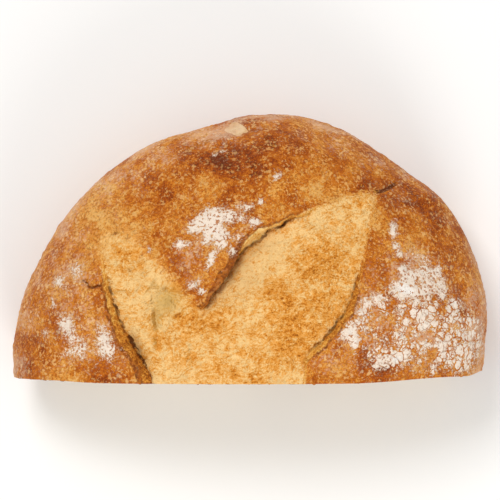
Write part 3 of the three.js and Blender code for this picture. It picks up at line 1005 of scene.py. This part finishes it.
def baked_crust():
    """Crust of a wheat sourdough: golden to dark brown skin with pale pin blisters, partly painted
    highlights where tiny blisters catch the light, cream dough where it opened, and dry white flour that
    stayed in patches. The skin has a soft eggshell gloss, and flour has none. Shade is painted into its
    grooves, wrinkles, pits, cracks and creases, and a pale sheen along its flanks."""
    f = Finish("baked_crust", 0.6, 0.13)
    skin_bake, open_bake, opened = f.fields("skin_bake", "open_bake", "opened")
    dust, flour, crackle, glassy, chip = f.fields("dust", "flour", "crackle", "glassy", "chip")
    wrinkle, pit_shade, groove, groove_shade = f.fields("wrinkle", "pit_shade", "groove", "groove_shade")
    ear_edge, ear_band, ear_brown_and_shade = f.fields("ear_edge", "ear_band", "ear_brown_and_shade")
    ear_lip, ear_split, crease_shade = f.fields("ear_lip", "ear_split", "crease_shade")

    broad, middle, small = f.mottle(26, 2), f.mottle(8, 4, 0.6), f.mottle(2.8, 3, 0.6)
    fine, grain = f.mottle(1.2, 2, 0.6), f.mottle(0.6, 1, 0.5)
    blotch = f.mottle(6.5, 3, 0.5, f.shifted(6.0, 5.0))
    curls = f.mottle(1.3, 1, 0.5, f.shifted(1.6, 2.2))

    # The skin, with pale flecks and pin blisters on some of a lattice of points, partly painted highlights
    # where tiny blisters catch the light, and dark curls.
    skin = f.weighted(skin_bake, (broad, 0.12), (blotch, 0.22), (small, 0.2), (fine, 0.2), (grain, 0.12))
    skin = f.add("ValToRGB", skin, stops=[(0.0, "#eab060"), (0.2, "#dd943c"), (0.42, "#cc761a"),
                                          (0.62, "#b65b08"), (0.82, "#943f04"), (1.0, "#6a2a06")])
    flecks = f.times(f.rise(0.3, 0.44, curls), f.rise(-0.5, 0.35, f.mottle(5, 2)))
    flakes = f.rise(0.22, 0.17, f.add("TexVoronoi", f.place, 1 / 4.6), (fine, 0.08))
    pins = f.add("Math", flecks, f.times(flakes, 0.8), operation="MAXIMUM")
    pin_share = f.add("Math", dust, 0.5, 0.58, operation="MULTIPLY_ADD", use_clamp=True)
    skin = f.paint(
        skin,
        (f.times(f.rise(-0.25, -0.45, curls), 0.45), "#8a3c02"),
        (f.times(pins, pin_share, f.rise(1.3, 0.6, skin_bake)), f.paint("#f0bd74", (dust, "#fad9b0"))),
    )

    # The opened dough, with strands drawn out along it and a network that shows more where it is golden.
    turn, stretch = (0.0, 0.0, math.radians(20)), (1 / 0.16, 1.0, 1.0)
    drawn_out = f.add("Mapping", f.shifted(12.0, 14.0), None, turn, stretch, vector_type="TEXTURE")
    strands = f.mottle(1.1, 2, 0.6, drawn_out)
    veins = f.add("Math", f.mottle(4.5, 3, 0.6), operation="ABSOLUTE")
    meshes = f.add("TexVoronoi", f.shifted(3.0, 2.5), 1 / 2.5)
    network = f.weighted(0.42, (meshes, -1), (veins, 0.5))
    dough = f.weighted(open_bake, (blotch, 0.22), (small, 0.26), (fine, 0.2), (grain, 0.16),
                       (strands, 0.32), (network, f.weighted(0.1, (open_bake, 0.36))), (flecks, -0.3))
    dough = f.add("ValToRGB", dough, stops=[(0.0, "#f8cc88"), (0.25, "#eeb060"), (0.5, "#e5993c"),
                                            (0.75, "#d07c1e"), (1.0, "#9e5410")])
    opened = f.rise(-0.25, 0.25, opened, (blotch, 0.7), (small, 0.6), (fine, 0.5))
    closed = f.weighted(1.0, (opened, -1))
    # Painted shade: the wrinkles' valleys are darkened.
    wrinkles = f.rise(0.45, 1.0, wrinkle, (small, 0.2), (fine, 0.15))
    in_groove = f.rise(0.35, 0.0, groove, (fine, 0.15))

    # The ears: the torn edge, brown partly as painted shade, the skin's lip above it, darkened as painted
    # shade, and the crack at its foot, darkened as painted shadow.
    edge = f.weighted(ear_edge, (small, 0.3), (fine, 0.35))
    foot = f.weighted(edge, (ear_band, 1))
    torn = f.times(f.rise(0.2, -0.15, edge), f.rise(-0.35, 0.1, foot))
    # The torn edge's brown is partly its baked colour and partly painted shade where the back ear's edge
    # lies in shadow.
    torn_level = f.weighted(ear_brown_and_shade, (small, 0.35), (fine, 0.3), (grain, 0.2))
    torn_colour = f.add("ValToRGB", f.weighted(0.15, (torn_level, 0.75)),
                        stops=[(0.0, "#f8cf86"), (0.35, "#eeb050"), (0.65, "#cf7f26"), (1.0, "#86400c")])
    # Painted shade: a dark band along the skin's edge, where it turns down into the torn edge.
    from_lip = f.add("Math", f.weighted(edge, (ear_lip, -0.7)), operation="ABSOLUTE")
    lip_shade = f.times(f.rise(0.5, -0.3, from_lip, (ear_lip, -1)), f.rise(0.0, 0.3, ear_lip), 0.85)
    lip_shade_colour = f.paint("#702c05", (f.rise(-0.5, 0.7, small, (fine, 0.8)), "#b5641a"))
    # Painted shadow: a dark line along the crack at the torn edge's foot, wider where the crack is deeper.
    from_split = f.add("Math", f.weighted(foot, (0.25, 1)), operation="ABSOLUTE")
    crack_shade = f.rise(0.7, 0.15, from_split, (ear_split, -0.45))
    crack_shade = f.times(crack_shade, ear_split, f.rise(-0.5, 0.1, f.mottle(4, 2)), 0.9)

    # The chip with its darker rim, and the thin veil on the skin: flour dust, with a painted sheen along
    # the flanks.
    chip_rim = f.times(f.rise(-0.7, -0.1, chip), f.rise(0.1, -0.1, chip), 0.3)
    dust_and_sheen = f.rise(0.25, 0.75, dust, (middle, 0.3), (small, 0.3), (fine, 0.5))
    dust_and_sheen = f.times(dust_and_sheen, f.rise(0.0, 0.25, dust), 0.55, closed)
    surface = f.paint(
        skin,
        (opened, dough),
        (f.times(glassy, 0.68), "#c89e4e"),
        # painted shade in the wrinkles' valleys
        (f.times(wrinkles, 0.5), "#b98638"),
        # painted shade in the grooves, darker on the skin than in the opened dough
        (f.times(in_groove, groove_shade), f.paint("#6e3208", (opened, "#b0761e"))),
        # painted shade in the pits
        (f.times(pit_shade, 0.8), "#7a4a1c"),
        # painted shadow in the crease at each ear's foot
        (f.times(crease_shade, 0.55), "#9a6a2c"),
        # the torn edge, brown partly as painted shade
        (torn, torn_colour),
        # painted shade along the skin's edge above the torn edge
        (lip_shade, lip_shade_colour),
        # painted shadow in the crack at each ear's foot
        (crack_shade, "#5a2606"),
        (f.rise(-0.1, 0.1, chip), f.paint("#e9c79c", (f.rise(-0.4, 0.4, middle), "#d9ac78"))),
        (chip_rim, "#8c5426"),
        # the veil: flour dust, and along the flanks a painted sheen
        (dust_and_sheen, "#efc19a"),
    )

    # The flour, split into cells of 4 mm and some of 2.3 mm where it is crackled, with pores elsewhere.
    bent = f.shifted(2.2, 2.6)
    width = f.weighted(0.06, (f.mottle(7, 3), 0.08))
    wide, thin = (f.add("TexVoronoi", bent, 1 / size, feature="DISTANCE_TO_EDGE") for size in (4.0, 2.3))
    wide = f.rise(0.03, -0.015, wide, (width, -1))
    thin = f.times(f.rise(0.03, -0.02, thin, (width, -1)), f.rise(-0.2, 0.5, f.mottle(6, 2)))
    splits = f.times(f.add("Math", wide, thin, operation="MAXIMUM"), f.rise(0.15, 0.6, crackle))
    cover = f.rise(0.14, 0.62, flour, (f.mottle(3.4, 3, 0.6), 0.2), (f.mottle(1.0, 2, 0.7), 0.36),
                   (dust, 0.2), (crackle, 0.15), (f.times(blotch, crackle), 0.3), (splits, -0.9),
                   (opened, -0.9))
    pores = f.rise(0.3, 0.18, f.add("TexVoronoi", bent, 1 / 2.0))
    pores = f.times(pores, f.rise(-0.3, 0.4, f.mottle(5, 2)))
    marks = f.times(f.rise(-0.36, -0.5, curls), f.rise(0.5, 0.1, crackle))
    bare = f.add("Math", pores, marks, operation="MAXIMUM")
    cover = f.times(cover, f.weighted(1.0, (bare, -0.7)))
    thick = f.rise(0.8, 1.3, flour, (middle, 0.2))
    flour_colour = f.paint("#e4a873", (cover, f.paint("#f8e7d4", (thick, "#fff8ee"))))
    surface = f.paint(surface, (f.times(cover, 0.94), flour_colour))

    rough = f.weighted(0.54, (opened, 0.14), (cover, 0.3))
    height = f.weighted(f.times(fine, 0.16), (small, 0.2), (grain, 0.08), (pins, 0.25), (cover, 0.4),
                        (wrinkles, -0.25), (f.times(strands, opened), 0.25),
                        (f.times(veins, opened), -0.5), (f.times(splits, cover), -0.6))
    bump = f.add("Bump", 0.9, CRUST_BUMP, None, height)
    return f.worn({"Base Color": surface, "Roughness": rough, "Normal": bump})


def sawn_crumb():
    """Open crumb of a wheat sourdough, sawn with a bread knife: cream, matt and porous, with a slight gloss
    inside the holes, and the crust's cut edge brown at its rim. Shade is painted into the holes, darker the
    deeper they go, and into the pores."""
    f = Finish("sawn_crumb", 0.75, 0.35)
    hole, rind = f.fields("hole", "rind")
    middle, fine, grain = f.mottle(8, 3), f.mottle(1.8, 3, 0.6), f.mottle(0.6, 1)
    level = f.weighted(0.42, (middle, 0.2), (fine, 0.22), (grain, 0.12))
    crumb = f.add("ValToRGB", level, stops=[(0.0, "#f8ead0"), (0.5, "#efdbb6"), (1.0, "#dcbd88")])
    # Painted shade: the holes darken with their depth, and the pores are painted dark.
    hollow = f.rise(0.2, 2.5, hole)
    pores = f.rise(0.34, 0.16, f.add("TexVoronoi", f.place, 1 / 1.5), (grain, 0.1))
    pores = f.times(pores, f.rise(-0.5, 0.3, f.mottle(4, 2)))
    inwards = f.weighted(rind, (fine, 0.35), (middle, 0.5))
    cut_crust = f.add("ValToRGB", f.times(inwards, 0.2),
                      stops=[(0.0, "#6e3810"), (0.22, "#9a5820"), (0.4, "#c98f4c"), (0.65, "#e2c18a"),
                             (1.0, "#efdbb6")])
    surface = f.paint(
        crumb,
        # painted shade in the holes, the deepest darkest
        (f.times(hollow, 0.55), "#dab679"),
        (f.times(f.rise(2.0, 9.0, hole), 0.7), "#a0703c"),
        # painted shade in the pores
        (f.times(pores, 0.5), "#c08a4c"),
        (f.rise(5.0, 2.6, inwards), cut_crust),
    )
    rough = f.weighted(0.8, (hollow, -0.3))
    height = f.weighted(f.times(fine, 0.2), (grain, 0.1), (pores, -0.7))
    bump = f.add("Bump", 0.9, CRUMB_BUMP, None, height)
    return f.worn({"Base Color": surface, "Roughness": rough, "Normal": bump})


def hearth_base():
    """The base, baked on a floured stone: even brown and matt, with scorched spots, darker pits, a patchy
    dusting of flour and a golden rim."""
    f = Finish("hearth_base", 0.8, 0.3)
    (from_rim,) = f.fields("from_rim")
    broad, middle, fine = f.mottle(30, 2), f.mottle(7, 3), f.mottle(1.5, 3, 0.6)
    level = f.weighted(0.5, (broad, 0.18), (middle, 0.18), (fine, 0.18))
    brown = f.add("ValToRGB", level,
                  stops=[(0.0, "#cf9a5c"), (0.4, "#b57a3e"), (0.7, "#94592a"), (1.0, "#5f3a22")])
    golden = f.paint("#c27a2c", (f.rise(-0.6, 0.6, fine), "#9c561a"))
    pits = f.rise(0.2, 0.1, f.add("TexVoronoi", f.place, 1 / 3.6), (fine, 0.05))
    dust = f.rise(0.15, 0.9, f.mottle(1.6, 4, 0.65), (f.mottle(14, 2), 0.5))
    surface = f.paint(
        brown,
        (f.rise(9.0, 1.0, from_rim, (middle, 2.0), (fine, 1.0)), golden),
        (f.times(pits, 0.6), "#5a3418"),
        (f.times(dust, 0.6), "#ead9bf"),
    )
    height = f.weighted(f.times(fine, 0.25), (middle, 0.3), (pits, -0.8), (dust, 0.2))
    bump = f.add("Bump", 0.8, BASE_BUMP, None, height)
    return f.worn({"Base Color": surface, "Normal": bump})


# ---- The stage, in metres ----

CAMERA_HEIGHT = 1.4
CAMERA_Y = -0.0021
FRAME_WIDTH = 0.2421  # at the girth's height
SENSOR = 36.0
FLOOR_HALF_SIZE = 3.0
LIGHT_TARGET = (0, 0, 0.04)
LIGHT_SIZE = 0.6
ROOM_BRIGHTNESS = 0.62

# Each light's place and power: a soft window above the back left, and a fill above the front right.
LIGHTS = {"window": ((-0.45, 0.75, 1.55), 13.5), "fill": ((0.35, -1.25, 0.8), 8.0)}


def stage():
    """A pale floor, a soft window light above the back left, a weaker fill above the front right, and
    even pale surroundings."""
    size = FLOOR_HALF_SIZE
    corners = [(-size, -size, 0), (size, -size, 0), (size, size, 0), (-size, size, 0)]
    mesh = bpy.data.meshes.new("floor")
    mesh.from_pydata(corners, [], [(0, 1, 2, 3)])
    floor = bpy.data.objects.new("floor", mesh)
    bpy.context.scene.collection.objects.link(floor)
    material, shader = new_material("pale_paper", 0.9, 0.2)
    shader["Base Color"].default_value = colour("#f6f5f3")
    mesh.materials.append(material)

    for name, (place, power) in LIGHTS.items():
        light = bpy.data.lights.new(name, "AREA")
        light.size = LIGHT_SIZE
        light.energy = power
        lamp = bpy.data.objects.new(name, light)
        lamp.location = place
        bpy.context.scene.collection.objects.link(lamp)
        away = np.array(place) - np.array(LIGHT_TARGET)
        tilt = math.atan2(math.hypot(away[0], away[1]), away[2])
        lamp.rotation_euler = (tilt, 0, math.atan2(away[1], away[0]) + math.pi / 2)

    world = bpy.data.worlds.new("pale_room")
    world.use_nodes = True
    background = world.node_tree.nodes["Background"].inputs
    background["Color"].default_value = (1, 1, 1, 1)
    background["Strength"].default_value = ROOM_BRIGHTNESS
    bpy.context.scene.world = world
    bpy.context.scene.view_settings.view_transform = "Standard"


def camera():
    """The camera looks straight down on the loaf, with the round back at the picture's top."""
    lens = bpy.data.cameras.new("camera")
    lens.sensor_width = SENSOR
    lens.lens = SENSOR * (CAMERA_HEIGHT - GIRTH_HEIGHT * MM) / FRAME_WIDTH
    eye = bpy.data.objects.new("camera", lens)
    eye.location = (0, CAMERA_Y, CAMERA_HEIGHT)
    bpy.context.scene.collection.objects.link(eye)
    bpy.context.scene.camera = eye


loaf = half_loaf()
for finish in (baked_crust, sawn_crumb, hearth_base):
    loaf.data.materials.append(finish())
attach(loaf, "root")
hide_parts("half_loaf")

stage()
camera()
